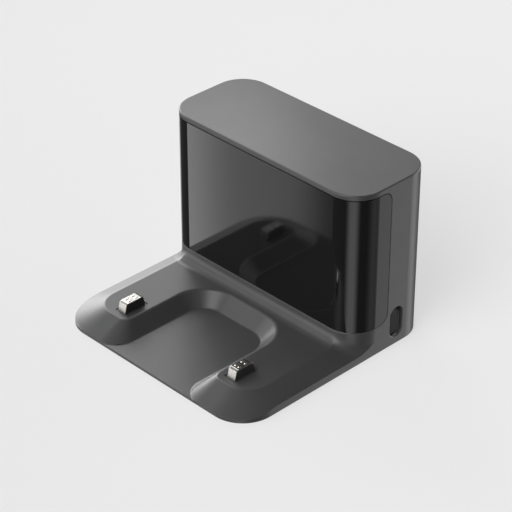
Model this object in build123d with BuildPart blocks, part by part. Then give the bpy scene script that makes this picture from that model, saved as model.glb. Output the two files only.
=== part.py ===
from build123d import *
from math import radians, tan
import os

os.makedirs("parts", exist_ok=True)

# Charging dock for a robot vacuum. Millimetres, +Z up, front towards -Y.
# The origin is on the floor, below the middle of the dock's outline.

# Overall form
dock_width = 150.0
dock_depth = 146.3
dock_height = 106.4
tower_depth = 61.4
front_corner_radius = 20.7
rear_corner_radius = 18.1
tower_corner_radius = 17.6
tower_foot_radius = 6.5
top_edge_radius = 0.8
wall = 2.2
foot_proud = 0.5

# Wings and the channel that the robot's nose runs into
wing_height = 10.2
wing_side_run = 12.2
wing_front_length = 15.6
front_lip_height = 2.4
side_lip_height = 5.1
wing_corner_radius = 14.0
wing_tip_radius = 5.0
wing_crease_radius = 2.2
channel_floor_height = 2.2
channel_half_width = 27.2
channel_back_gap = 16.4
channel_corner_radius = 13.5
channel_wall_run = 1.1
channel_toe_radius = 1.5

# Glossy front window
window_bottom = 18.5
cap_height = 3.3
window_seam_length = 27.2
window_corner_radius = 6.0
window_gap = 0.15
window_flange = 3.0
flange_thickness = 1.5

# Bottom cover
cover_thickness = 2.0
cover_rim = 1.8
cover_front_rim = 3.5
cover_gap = 0.25
cover_rib_height = 5.0
cover_rib_thickness = 1.5
cover_rib_spacing = 24.0
cover_rib_count = 5
cover_rib_clearance = 4.0

# Cord bay at the back
outlet_width = 9.8
outlet_height = 19.4
outlet_centre_height = 14.9
outlet_edge_radius = 0.6
outlet_behind_seam = 7.7
bay_height = 70.0
bay_wall = 1.8
bay_behind_seam = 0.4
bay_side_gap = 0.3
bay_opening_side = 21.0
bay_opening_bottom = 6.0
bay_opening_top = 64.0
bay_opening_radius = 8.0
hook_spacing = 60.0
hook_centre_height = 44.0
hook_post_radius = 4.5
hook_length = 21.0
hook_plate_width = 14.0
hook_plate_height = 22.0
hook_plate_thickness = 2.2
hook_plate_radius = 3.0

# Mains inlet
inlet_width = 22.0
inlet_height = 14.0
inlet_centre_height = 19.0
inlet_depth = 13.6
inlet_corner_radius = 2.0
socket_lobe_radius = 4.1
socket_waist = 5.6
socket_depth = 11.0
pin_spacing = 8.6
pin_radius = 1.2
pin_setback = 2.0
solder_tail = 1.2

# Sprung charging contacts
contact_spacing = 90.0
contact_from_front = 28.4
contact_top_height = 15.8
contact_top_length = 9.6
contact_bevel_length = 1.6
contact_bevel_drop = 0.6
contact_slope_run = 1.3
contact_strip_width = 5.8
contact_sheet = 0.4
contact_tail = 0.5
contact_travel = 2.5
carrier_width = 6.4
carrier_foot_width = 8.8
carrier_foot_length = 16.8
carrier_foot_radius = 1.0
carrier_foot_drop = 0.3
carrier_flange = 1.6
carrier_flange_thickness = 1.2
aperture_gap = 0.4
stop_gap = 0.1
guide_wall = 1.2
guide_gap = 0.3
stop_thickness = 1.4
bump_length = 2.2
bump_width = 1.2
bump_height = 0.3
bump_pitch_across = 2.5
bump_pitch_along = 4.6
spring_radius = 1.8
spring_wire_radius = 0.25
spring_turns = 6
spring_side_gap = 0.4
spring_end_gap = 0.02
terminal_thickness = 0.4
terminal_tab_width = 4.0
terminal_tab_length = 4.0
terminal_peg_height = 1.0
terminal_peg_gap = 0.15
lead_radius = 0.7

# Circuit boards
board_thickness = 1.6
board_standoff = 3.0
board_half_width = 52.0
board_bottom = 10.0
board_height = 57.0
board_corner_radius = 1.5
board_screw_inset = 5.0
beacon_below_window_top = 14.1
beacon_half_width = 27.0
beacon_board_height = 18.0
lug_width = 9.0
lug_height = 4.0
lug_screw_room = 2.5
shroud_depth = 10.0
shroud_wall = 1.4
shroud_window_gap = 1.0
led_radius = 2.5
led_flange = 0.4
led_flange_thickness = 1.0
led_spacing = 18.0
led_setback = 3.0

# Components on the power board, by their rise from its lower edge and their place across it
transformer_rise = 36.0
transformer_from_middle = 12.0
core_width = 26.0
core_height = 22.0
core_depth = 9.0
core_leg = 4.0
winding_width = 15.0
winding_depth = 16.0
winding_radius = 2.0
mains_capacitor_rise = 38.0
mains_capacitor_from_middle = 12.0
mains_capacitor_radius = 8.0
mains_capacitor_length = 17.0
output_capacitor_rise = 39.0
output_capacitor_pitch = 10.0
output_capacitor_from_edge = 16.0
output_capacitor_radius = 4.0
output_capacitor_length = 12.0
capacitor_bead = 0.4
capacitor_bead_width = 0.8
capacitor_bead_rise = 2.0
capacitor_rim = 0.6
choke_rise = 18.5
choke_from_middle = 16.0
choke_radius = 7.0
choke_hole_radius = 3.0
choke_depth = 8.0
choke_edge = 1.4
fuse_rise = 7.0
fuse_from_middle = 13.0
fuse_width = 8.4
fuse_height = 4.4
fuse_depth = 8.0
fuse_radius = 0.6
rectifier_rise = 34.0
rectifier_from_edge = 20.0
rectifier_thickness = 3.6
rectifier_height = 14.0
rectifier_depth = 11.0
rectifier_key = 1.2
heat_sink_rise = 34.0
heat_sink_from_edge = 11.0
heat_sink_thickness = 1.6
heat_sink_height = 24.0
heat_sink_depth = 14.0
fin_length = 4.0
fin_thickness = 1.0
fin_pitch = 6.0
connector_width = 6.0
connector_height = 6.5
connector_depth = 6.0
connector_from_edge = 22.0
connector_rise = 7.5
link_below_top = 6.0

# Fasteners and feet, by their place from the dock's sides, front and rear
screw_radius = 1.25
screw_head_radius = 2.6
screw_head_height = 1.5
screw_length = 6.2
screw_clearance = 0.05
screw_slot_width = 0.7
screw_slot_length = 3.1
screw_slot_depth = 0.8
boss_radius = 3.2
boss_web = 1.5
seat_height = 1.6
head_recess = 1.8
head_clearance = 0.4
wing_screw_from_side = 15.0
wing_screw_from_front = 46.0
side_screw_from_side = 9.0
side_screw_behind_front = 21.0
bay_screw_from_side = 33.0
bay_screw_from_rear = 11.0
rubber_foot_length = 22.0
rubber_foot_width = 9.0
rubber_foot_thickness = 1.5
rubber_foot_edge = 0.3
front_foot_from_side = 23.0
front_foot_from_front = 13.0
rear_foot_from_side = 25.0
rear_foot_from_rear = 24.0

# Places worked out from the sizes above
front_y = -dock_depth / 2
rear_y = dock_depth / 2
side_x = dock_width / 2
tower_front_y = rear_y - tower_depth
beyond_rear_y = rear_y + 30.0
seam_y = tower_front_y + window_seam_length
cover_top = foot_proud + cover_thickness
window_top = dock_height - cap_height
wing_flat_half_width = side_x - wing_side_run
side_slope_run = wing_side_run / (wing_height - side_lip_height)
front_slope_run = wing_front_length / (wing_height - front_lip_height)
channel_depth = wing_height - channel_floor_height
channel_top_half_width = channel_half_width + channel_depth * channel_wall_run
channel_floor_back_y = tower_front_y - channel_back_gap
channel_top_back_y = channel_floor_back_y + channel_depth * channel_wall_run
bay_front_y = seam_y + bay_behind_seam
bay_half_width = side_x - wall - flange_thickness - bay_side_gap
outlet_y = seam_y + outlet_behind_seam
contact_y = front_y + contact_from_front
contact_x = contact_spacing / 2
board_back_y = bay_front_y - board_standoff
board_front_y = board_back_y - board_thickness
window_back_y = tower_front_y + wall
shroud_front_y = window_back_y + flange_thickness + shroud_window_gap
shroud_back_y = shroud_front_y + shroud_depth
hole_radius = screw_radius + screw_clearance


def finish(part, name):
    """Label a finished piece and write it to its own file."""
    part.label = name
    export_step(part, f"parts/{name}.step")


def wing_outline(height, drop):
    """Outline of the two wings at one height, with the whole form lowered by drop."""
    below = wing_height - drop - height
    outer = wing_flat_half_width + below * side_slope_run
    front = front_y + wing_front_length - below * front_slope_run
    inner = channel_top_half_width - below * channel_wall_run
    back = channel_top_back_y - below * channel_wall_run
    outer_radius = wing_corner_radius + below * (side_slope_run + front_slope_run) / 2
    tip_radius = wing_tip_radius + below * channel_wall_run
    throat_radius = channel_corner_radius + (channel_depth - below) * channel_wall_run
    return u_outline(height, outer, front, inner, back, beyond_rear_y,
                     outer_radius, tip_radius, throat_radius, 0)


def u_outline(height, outer, front, inner, back, rear, outer_radius, tip_radius, throat_radius, rear_radius):
    """A U on its plane: two arms towards -Y, joined behind the channel."""
    corners = [(-outer, rear), (-outer, front), (-inner, front), (-inner, back),
               (inner, back), (inner, front), (outer, front), (outer, rear)]
    radii = [rear_radius, outer_radius, tip_radius, throat_radius,
             throat_radius, tip_radius, outer_radius, rear_radius]
    with BuildSketch(Plane.XY.offset(height)) as outline:
        with BuildLine():
            FilletPolyline(*corners, radius=radii, close=True)
        make_face()
    return outline.sketch


def footprint(height, inset):
    """Plan outline of the dock, moved inwards by inset."""
    half = side_x - inset
    corners = [(-half, front_y + inset), (half, front_y + inset), (half, rear_y - inset), (-half, rear_y - inset)]
    front_radius = front_corner_radius - inset
    rear_radius = rear_corner_radius - inset
    with BuildSketch(Plane.XY.offset(height)) as outline:
        with BuildLine():
            FilletPolyline(*corners, radius=[front_radius, front_radius, rear_radius, rear_radius], close=True)
        make_face()
    return outline.sketch


def tower_outline(height, inset, rear):
    """Plan outline of the tower, moved inwards by inset at its front and sides."""
    half = side_x - inset
    corners = [(-half, tower_front_y + inset), (half, tower_front_y + inset), (half, rear), (-half, rear)]
    radius = tower_corner_radius - inset
    with BuildSketch(Plane.XY.offset(height)) as outline:
        with BuildLine():
            FilletPolyline(*corners, radius=[radius, radius, 0, 0], close=True)
        make_face()
    return outline.sketch


def window_side_view(grow):
    """Side view of the window's area on the YZ plane, larger by grow all round."""
    front = tower_front_y - tower_foot_radius
    corners = [(front, window_bottom - grow), (seam_y + grow, window_bottom - grow),
               (seam_y + grow, window_top + grow), (front, window_top + grow)]
    radius = window_corner_radius + grow
    with BuildSketch(Plane.YZ) as view:
        with BuildLine():
            FilletPolyline(*corners, radius=[0, radius, radius, 0], close=True)
        make_face()
    return view.sketch


def cover_outline(height, inset):
    """Plan outline of the bottom cover, moved inwards by inset on every side."""
    outer = side_x - cover_rim - inset
    inner = channel_half_width + cover_rim + inset
    return u_outline(height, outer, front_y + cover_front_rim + inset, inner,
                     channel_floor_back_y + cover_rim + inset, rear_y - cover_rim - inset,
                     front_corner_radius - cover_front_rim, wing_tip_radius + inset,
                     channel_corner_radius - inset, rear_corner_radius - cover_rim - inset)


def facing_front(y):
    """Upright plane across the dock at y, looking towards the front; its own axes are X and Z."""
    return Plane.XZ.offset(-y)


def facing_rear(y):
    """Upright plane across the dock at y, looking towards the rear; its own axes are -X and Z."""
    return Plane(origin=(0, y, 0), x_dir=(-1, 0, 0), z_dir=(0, 1, 0))


def screw(seat, pointing):
    """Pan-head screw with a cross slot; seat is under the head, pointing is along the shank."""
    with BuildPart(Plane(origin=seat, z_dir=pointing)) as fastener:
        Cylinder(screw_radius, screw_length, align=(Align.CENTER, Align.CENTER, Align.MIN))
        Cylinder(screw_head_radius, screw_head_height, align=(Align.CENTER, Align.CENTER, Align.MAX))
        chamfer(fastener.edges().filter_by(GeomType.CIRCLE).group_by(SortBy.RADIUS)[-1]
                .sort_by(lambda edge: (edge.center() - Vector(*seat)).length)[-1], length=screw_head_height / 2)
        with BuildSketch(Plane(origin=Vector(*seat) - Vector(*pointing) * screw_head_height, z_dir=pointing)):
            Rectangle(screw_slot_length, screw_slot_width)
            Rectangle(screw_slot_width, screw_slot_length)
        extrude(amount=screw_slot_depth, mode=Mode.SUBTRACT)
    return fastener.part


def lead_path(points):
    """Straight runs joined by arcs as large as the runs allow."""
    corners = [Vector(*point) for point in points]
    radii = []
    for before, corner, after in zip(corners, corners[1:], corners[2:]):
        turn = (corner - before).get_angle(after - corner)
        shorter = min((corner - before).length, (after - corner).length)
        radii.append(0.45 * shorter / tan(radians(turn / 2)))
    print("lead radii", [round(radius, 1) for radius in radii])
    with BuildLine() as path:
        FilletPolyline(*points, radius=radii)
    return path.line


def lead(points):
    """Insulated wire of one thickness along a path of points."""
    path = lead_path(points)
    with BuildPart() as wire:
        with BuildSketch(Plane(origin=path @ 0, z_dir=path % 0)):
            Circle(lead_radius)
        sweep(path=path)
    return wire.part


# Screw places seen from above
def pair(from_side, y):
    """A place near the left side and its mirror image near the right side."""
    return [(from_side - side_x, y), (side_x - from_side, y)]


wing_screws = pair(wing_screw_from_side, front_y + wing_screw_from_front)
side_screws = pair(side_screw_from_side, tower_front_y + side_screw_behind_front)
bay_screws = pair(bay_screw_from_side, rear_y - bay_screw_from_rear)
feet_places = (pair(front_foot_from_side, front_y + front_foot_from_front)
               + pair(rear_foot_from_side, rear_y - rear_foot_from_rear))

# Places of what is inside, from the sizes above
boss_bottom = cover_top + seat_height
head_z = foot_proud + head_recess
hole_top = head_z + screw_length + screw_clearance
roof = dock_height - wall
bay_back_y = bay_front_y + bay_wall
bay_floor = cover_top + bay_wall
flange_top = wing_height - wall - stop_gap
foot_top = wing_height - carrier_foot_drop
aperture_width = carrier_foot_width + 2 * aperture_gap
aperture_length = carrier_foot_length + 2 * aperture_gap
flange_width = carrier_foot_width + 2 * carrier_flange
flange_length = carrier_foot_length + 2 * carrier_flange
guide_width = flange_width + 2 * guide_gap
guide_length = flange_length + 2 * guide_gap
guide_bottom = cover_top + terminal_thickness + stop_gap
stop_top = flange_top - carrier_flange_thickness - contact_travel - stop_gap
stop_x = flange_width / 2 - stop_thickness / 2
terminal_width = flange_width - 2 * stop_thickness - 2 * guide_gap
contact_places = [(-contact_x, contact_y), (contact_x, contact_y)]
board_middle = board_bottom + board_height / 2
board_screws = [(x, z) for x in (board_screw_inset - board_half_width, board_half_width - board_screw_inset)
                for z in (board_bottom + board_screw_inset, board_bottom + board_height - board_screw_inset)]
beacon_height = window_top - beacon_below_window_top
shroud_bottom = beacon_height - beacon_board_height / 2
shroud_top = beacon_height + beacon_board_height / 2
lug_x = beacon_half_width + lug_width / 2
shroud_middle_y = (shroud_front_y + shroud_back_y) / 2
lug_places = [(-lug_x, shroud_middle_y), (lug_x, shroud_middle_y)]
board_lug_height = beacon_board_height - lug_height - screw_head_height - lug_screw_room
board_lug_centre = shroud_bottom + board_lug_height / 2
transformer_place = (transformer_from_middle, board_bottom + transformer_rise)
connector_x = board_half_width - connector_from_edge
connector_z = board_bottom + connector_rise
link_z = board_bottom + board_height - link_below_top

# Room inside the housing: under the wings and up the tower
with BuildPart() as cavity:
    loft(sections=[wing_outline(cover_top, wall), wing_outline(wing_height - wall, wall)], ruled=True)
    extrude(tower_outline(cover_top, wall, rear_y), amount=roof - cover_top)
    extrude(footprint(cover_top, wall), amount=dock_height, mode=Mode.INTERSECT)
    extrude(cover_outline(foot_proud - 1.0, 0), amount=cover_thickness + 1.0)

# Ledge behind the window's edge, which the window is glued to
with BuildPart() as window_ledge:
    extrude(tower_outline(window_bottom - window_flange, wall, rear_y), amount=roof - window_bottom + window_flange)
    extrude(tower_outline(0, wall + flange_thickness, rear_y), amount=dock_height, mode=Mode.SUBTRACT)
    extrude(window_side_view(window_flange), amount=side_x, both=True, mode=Mode.INTERSECT)
    extrude(window_side_view(-window_flange), amount=side_x, both=True, mode=Mode.SUBTRACT)

# Upper housing: one ABS moulding with the wings, the tower and its top
with BuildPart() as upper_housing:
    loft(sections=[wing_outline(foot_proud, 0), wing_outline(wing_height, 0)], ruled=True)
    wing_crease = upper_housing.faces().sort_by(Axis.Z)[-1].edges()
    fillet(wing_crease.filter_by_position(Axis.Y, front_y, beyond_rear_y - 1.0), radius=wing_crease_radius)
    with BuildSketch(Plane.XY.offset(foot_proud)):
        with Locations((0, beyond_rear_y)):
            Rectangle(2 * dock_width, 2 * dock_width, align=(Align.CENTER, Align.MAX))
    extrude(amount=channel_floor_height - foot_proud)
    toe_height = channel_floor_height
    toe = upper_housing.edges().filter_by_position(Axis.Z, toe_height - 0.01, toe_height + 0.01)
    toe = toe.filter_by_position(Axis.X, -dock_width, dock_width, inclusive=(False, False))
    fillet(toe.filter_by_position(Axis.Y, front_y * 1.5, beyond_rear_y - 1.0), radius=channel_toe_radius)
    extrude(tower_outline(foot_proud, 0, beyond_rear_y), amount=dock_height - foot_proud)
    on_tower_front = upper_housing.edges().filter_by_position(Axis.Y, tower_front_y - 0.01, tower_front_y + 0.01)
    fillet(on_tower_front.filter_by(Axis.X).sort_by(Axis.Z)[0], radius=tower_foot_radius)
    extrude(footprint(0, 0), amount=dock_height, mode=Mode.INTERSECT)
    fillet(upper_housing.faces().sort_by(Axis.Z)[-1].edges(), radius=top_edge_radius)
    add(cavity.part, mode=Mode.SUBTRACT)
    extrude(window_side_view(0), amount=dock_width, both=True, mode=Mode.SUBTRACT)
    add(window_ledge.part)
    # cord outlets through both sides
    with BuildSketch(Plane.YZ):
        with Locations((outlet_y, outlet_centre_height)):
            SlotOverall(outlet_height, outlet_width, rotation=90)
    extrude(amount=dock_width, both=True, mode=Mode.SUBTRACT)
    rims = upper_housing.edges().filter_by_position(Axis.Y, outlet_y - outlet_width, outlet_y + outlet_width)
    rims = rims.filter_by_position(Axis.Z, 0, outlet_centre_height + outlet_height)
    left_rim = rims.filter_by_position(Axis.X, -side_x - 0.01, -side_x + 0.01).sort_by(Axis.Z)[1:]
    right_rim = rims.filter_by_position(Axis.X, side_x - 0.01, side_x + 0.01).sort_by(Axis.Z)[1:]
    fillet(left_rim + right_rim, radius=outlet_edge_radius)
    # opening of the cord bay in the rear wall
    with BuildSketch(facing_front(rear_y + 1.0)):
        with Locations((0, (bay_opening_bottom + bay_opening_top) / 2)):
            RectangleRounded(2 * (side_x - bay_opening_side), bay_opening_top - bay_opening_bottom,
                             bay_opening_radius)
    extrude(amount=wall + 2.0, mode=Mode.SUBTRACT)
    # guides that hang below the wings round the charging contacts
    with BuildSketch(Plane.XY.offset(guide_bottom)):
        with Locations(*contact_places):
            RectangleRounded(guide_width + 2 * guide_wall, guide_length + 2 * guide_wall, 2 * guide_wall)
            Rectangle(guide_width, guide_length, mode=Mode.SUBTRACT)
    extrude(amount=wing_height - wall - guide_bottom)
    with BuildSketch(Plane.XY.offset(wing_height)):
        with Locations(*contact_places):
            RectangleRounded(aperture_width, aperture_length, carrier_foot_radius + aperture_gap)
    extrude(amount=-2 * wall, mode=Mode.SUBTRACT)
    # screw bosses under the wings, beside the tower walls and under the roof
    with BuildSketch(Plane.XY.offset(boss_bottom)):
        with Locations(*wing_screws):
            Circle(boss_radius)
    extrude(amount=wing_height - wall / 2 - boss_bottom)
    with BuildSketch(Plane.XY.offset(boss_bottom)):
        with Locations(*side_screws):
            Circle(boss_radius)
        for x, y in side_screws:
            web = side_x - wall / 2 - abs(x)
            with Locations((x + web / 2 * x / abs(x), y)):
                Rectangle(web, boss_web)
    extrude(amount=window_bottom - boss_bottom)
    with BuildSketch(Plane.XY.offset(boss_bottom)):
        with Locations(*wing_screws, *side_screws):
            Circle(hole_radius)
    extrude(amount=hole_top - boss_bottom, mode=Mode.SUBTRACT)
    with BuildSketch(Plane.XY.offset(shroud_top)):
        with Locations(*lug_places):
            Circle(boss_radius)
            Circle(hole_radius, mode=Mode.SUBTRACT)
    extrude(amount=roof - shroud_top)
finish(upper_housing.part, "upper_housing")

# Front window: glossy smoked polycarbonate, bent round the tower's front
with BuildPart() as front_window:
    extrude(window_side_view(-window_gap), amount=dock_width, both=True)
    extrude(tower_outline(0, 0, rear_y), amount=dock_height, mode=Mode.INTERSECT)
    extrude(tower_outline(0, wall, rear_y), amount=dock_height, mode=Mode.SUBTRACT)
finish(front_window.part, "front_window")

# Bottom cover: closes the wings and the tower from below, with a notch for the channel
with BuildPart() as bottom_cover:
    extrude(cover_outline(foot_proud, cover_gap), amount=cover_thickness)
    with BuildSketch(Plane.XY.offset(cover_top)):
        with Locations(*wing_screws, *side_screws, *bay_screws):
            Circle(boss_radius)
    extrude(amount=seat_height)
    with BuildSketch(Plane.XY.offset(cover_top)):
        with Locations((0, (tower_front_y + bay_front_y) / 2)):
            with GridLocations(cover_rib_spacing, 0, cover_rib_count, 1):
                Rectangle(cover_rib_thickness, bay_front_y - tower_front_y - 2 * cover_rib_clearance)
            Rectangle(2 * cover_rib_spacing, cover_rib_thickness)
    extrude(amount=cover_rib_height)
    # stops under the carriers' flanges that end the contacts' travel
    with BuildSketch(Plane.XY.offset(cover_top)):
        with Locations(*contact_places):
            with GridLocations(2 * stop_x, 0, 2, 1):
                Rectangle(stop_thickness, contact_top_length)
    extrude(amount=stop_top - cover_top)
    with BuildSketch(Plane.XY.offset(foot_proud)):
        with Locations(*feet_places):
            SlotOverall(rubber_foot_length + 2 * cover_gap, rubber_foot_width + 2 * cover_gap)
    extrude(amount=rubber_foot_thickness - foot_proud, mode=Mode.SUBTRACT)
    with Locations(*[Location((x, y, foot_proud), (180, 0, 0)) for x, y in wing_screws + side_screws + bay_screws]):
        CounterBoreHole(hole_radius, screw_head_radius + head_clearance, head_recess, depth=2 * boss_bottom)
finish(bottom_cover.part, "bottom_cover")

# Rubber feet: four pads pressed into the cover's recesses
with BuildPart() as rubber_feet:
    with BuildSketch():
        with Locations(*feet_places):
            SlotOverall(rubber_foot_length, rubber_foot_width)
    extrude(amount=rubber_foot_thickness)
    chamfer(rubber_feet.faces().group_by(Axis.Z)[0].edges(), length=rubber_foot_edge)
finish(rubber_feet.part, "rubber_feet")

# Cord bay liner: bent wall, roof and floor behind the boards, with two cord hooks
with BuildPart() as cord_bay_liner:
    with BuildSketch(Plane.YZ):
        with BuildLine():
            Polyline((rear_y, cover_top), (bay_front_y, cover_top), (bay_front_y, bay_height), (rear_y, bay_height),
                     (rear_y, bay_height - bay_wall), (bay_back_y, bay_height - bay_wall), (bay_back_y, bay_floor),
                     (rear_y, bay_floor), close=True)
        make_face()
    extrude(amount=bay_half_width, both=True)
    bend = cord_bay_liner.edges().filter_by(Axis.X).filter_by_position(Axis.Y, bay_back_y - 0.01, bay_back_y + 0.01)
    fillet(bend, radius=bay_wall)
    extrude(footprint(0, wall + 0.2), amount=dock_height, mode=Mode.INTERSECT)
    with BuildSketch(facing_front(bay_front_y)):
        with Locations(*board_screws):
            Circle(boss_radius)
    extrude(amount=board_standoff)
    with BuildSketch(Plane.XY.offset(cover_top)):
        with Locations(*bay_screws):
            Circle(boss_radius + cover_gap + bay_wall)
    extrude(amount=hole_top + bay_wall - cover_top)
    for x in (-hook_spacing / 2, hook_spacing / 2):
        with BuildSketch(facing_rear(bay_back_y)):
            with Locations((x, hook_centre_height)):
                Circle(hook_post_radius)
        extrude(amount=hook_length)
        with BuildSketch(facing_rear(bay_back_y + hook_length)):
            with Locations((x, hook_centre_height)):
                RectangleRounded(hook_plate_width, hook_plate_height, hook_plate_radius)
        extrude(amount=hook_plate_thickness)
    with BuildSketch(facing_front(bay_back_y)):
        with Locations((0, inlet_centre_height)):
            Rectangle(inlet_width + 2 * cover_gap, inlet_height + 2 * cover_gap)
    extrude(amount=bay_wall, mode=Mode.SUBTRACT)
    with BuildSketch(facing_front(board_back_y)):
        with Locations(*board_screws):
            Circle(hole_radius)
    extrude(amount=-(screw_length - board_thickness), mode=Mode.SUBTRACT)
    with BuildSketch(Plane.XY.offset(cover_top)):
        with Locations(*bay_screws):
            Circle(boss_radius + cover_gap)
    extrude(amount=seat_height, mode=Mode.SUBTRACT)
    with BuildSketch(Plane.XY.offset(boss_bottom)):
        with Locations(*bay_screws):
            Circle(hole_radius)
    extrude(amount=hole_top - boss_bottom, mode=Mode.SUBTRACT)
finish(cord_bay_liner.part, "cord_bay_liner")

# Mains inlet: figure-eight socket that opens into the cord bay, soldered to the power board
with BuildPart() as mains_inlet:
    with BuildSketch(facing_rear(board_back_y)):
        with Locations((0, inlet_centre_height)):
            RectangleRounded(inlet_width, inlet_height, inlet_corner_radius)
    extrude(amount=inlet_depth)
    with BuildSketch(facing_rear(board_back_y + inlet_depth - socket_depth)):
        with Locations((-pin_spacing / 2, inlet_centre_height), (pin_spacing / 2, inlet_centre_height)):
            Circle(socket_lobe_radius)
        with Locations((0, inlet_centre_height)):
            Rectangle(pin_spacing, socket_waist)
    extrude(amount=socket_depth, mode=Mode.SUBTRACT)
    with BuildSketch(facing_rear(board_back_y)):
        with Locations((-pin_spacing / 2, inlet_centre_height), (pin_spacing / 2, inlet_centre_height)):
            Circle(pin_radius)
    extrude(amount=inlet_depth, mode=Mode.SUBTRACT)
finish(mains_inlet.part, "mains_inlet")

# Inlet pins: two round brass pins with their tails through the board
with BuildPart() as inlet_pins:
    with BuildSketch(facing_rear(board_front_y - solder_tail)):
        with Locations((-pin_spacing / 2, inlet_centre_height), (pin_spacing / 2, inlet_centre_height)):
            Circle(pin_radius)
    extrude(amount=solder_tail + board_thickness + inlet_depth - pin_setback)
    fillet(inlet_pins.faces().group_by(Axis.Y)[-1].edges(), radius=pin_radius * 0.6)
finish(inlet_pins.part, "inlet_pins")

# Power board: upright on four bosses of the liner
with BuildPart() as power_board:
    with BuildSketch(facing_front(board_back_y)):
        with Locations((0, board_middle)):
            RectangleRounded(2 * board_half_width, board_height, board_corner_radius)
        with Locations(*board_screws):
            Circle(hole_radius, mode=Mode.SUBTRACT)
        with Locations((-pin_spacing / 2, inlet_centre_height), (pin_spacing / 2, inlet_centre_height)):
            Circle(pin_radius + screw_clearance, mode=Mode.SUBTRACT)
    extrude(amount=board_thickness)
finish(power_board.part, "power_board")

# Transformer: ferrite frame round a taped winding
with BuildPart() as transformer_core:
    with BuildSketch(facing_front(board_front_y - (winding_depth - core_depth) / 2)):
        with Locations(transformer_place):
            Rectangle(core_width, core_height)
            Rectangle(winding_width, core_height - 2 * core_leg, mode=Mode.SUBTRACT)
    extrude(amount=core_depth)
finish(transformer_core.part, "transformer_core")
with BuildPart() as transformer_winding:
    with BuildSketch(facing_front(board_front_y)):
        with Locations(transformer_place):
            Rectangle(winding_width, core_height - 2 * core_leg)
    extrude(amount=winding_depth)
    fillet(transformer_winding.edges().filter_by(Axis.Z), radius=winding_radius)
finish(transformer_winding.part, "transformer_winding")


def capacitors(places, radius, length):
    """Round electrolytic cans standing on the power board, with a bead near the board."""
    with BuildPart() as cans:
        with BuildSketch(facing_front(board_front_y)):
            with Locations(*places):
                Circle(radius)
        extrude(amount=length)
        chamfer(cans.faces().group_by(Axis.Y)[0].edges(), length=capacitor_rim)
        with BuildSketch(facing_front(board_front_y - capacitor_bead_rise)):
            with Locations(*places):
                Circle(radius)
                Circle(radius - capacitor_bead, mode=Mode.SUBTRACT)
        extrude(amount=capacitor_bead_width, mode=Mode.SUBTRACT)
    return cans.part


mains_capacitor_place = (-mains_capacitor_from_middle, board_bottom + mains_capacitor_rise)
output_capacitor_places = [(board_half_width - output_capacitor_from_edge,
                            board_bottom + output_capacitor_rise + step * output_capacitor_pitch / 2)
                           for step in (-1, 1)]
finish(capacitors([mains_capacitor_place], mains_capacitor_radius, mains_capacitor_length), "mains_capacitor")
finish(capacitors(output_capacitor_places, output_capacitor_radius, output_capacitor_length), "output_capacitors")

# Line filter choke: wound ring standing near the inlet
with BuildPart() as line_choke:
    with BuildSketch(facing_front(board_front_y)):
        with Locations((-choke_from_middle, board_bottom + choke_rise)):
            Circle(choke_radius)
            Circle(choke_hole_radius, mode=Mode.SUBTRACT)
    extrude(amount=choke_depth)
    chamfer(line_choke.edges().filter_by(GeomType.CIRCLE), length=choke_edge)
finish(line_choke.part, "line_choke")

# Fuse, rectifier and the switching transistor's cooler
with BuildPart() as fuse:
    with BuildSketch(facing_front(board_front_y)):
        with Locations((-fuse_from_middle, board_bottom + fuse_rise)):
            RectangleRounded(fuse_width, fuse_height, fuse_radius)
    extrude(amount=fuse_depth)
finish(fuse.part, "fuse")
with BuildPart() as bridge_rectifier:
    with BuildSketch(facing_front(board_front_y)):
        with Locations((rectifier_from_edge - board_half_width, board_bottom + rectifier_rise)):
            Rectangle(rectifier_thickness, rectifier_height)
    extrude(amount=rectifier_depth)
    chamfer(bridge_rectifier.edges().filter_by(Axis.Z).group_by(Axis.Y)[0][0], length=rectifier_key)
finish(bridge_rectifier.part, "bridge_rectifier")
with BuildPart() as heat_sink:
    with BuildSketch(facing_front(board_front_y)):
        with Locations((heat_sink_from_edge - board_half_width, board_bottom + heat_sink_rise)):
            Rectangle(heat_sink_thickness, heat_sink_height)
            with Locations((fin_length / 2, 0)):
                with GridLocations(0, fin_pitch, 1, 4):
                    Rectangle(fin_length, fin_thickness)
    extrude(amount=heat_sink_depth)
finish(heat_sink.part, "heat_sink")

# Plug-in connectors at the board's lower corners and its top edge
with BuildPart() as board_connectors:
    with BuildSketch(facing_front(board_front_y)):
        with Locations((-connector_x, connector_z), (connector_x, connector_z), (0, link_z)):
            Rectangle(connector_width, connector_height)
    extrude(amount=connector_depth)
finish(board_connectors.part, "board_connectors")

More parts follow.
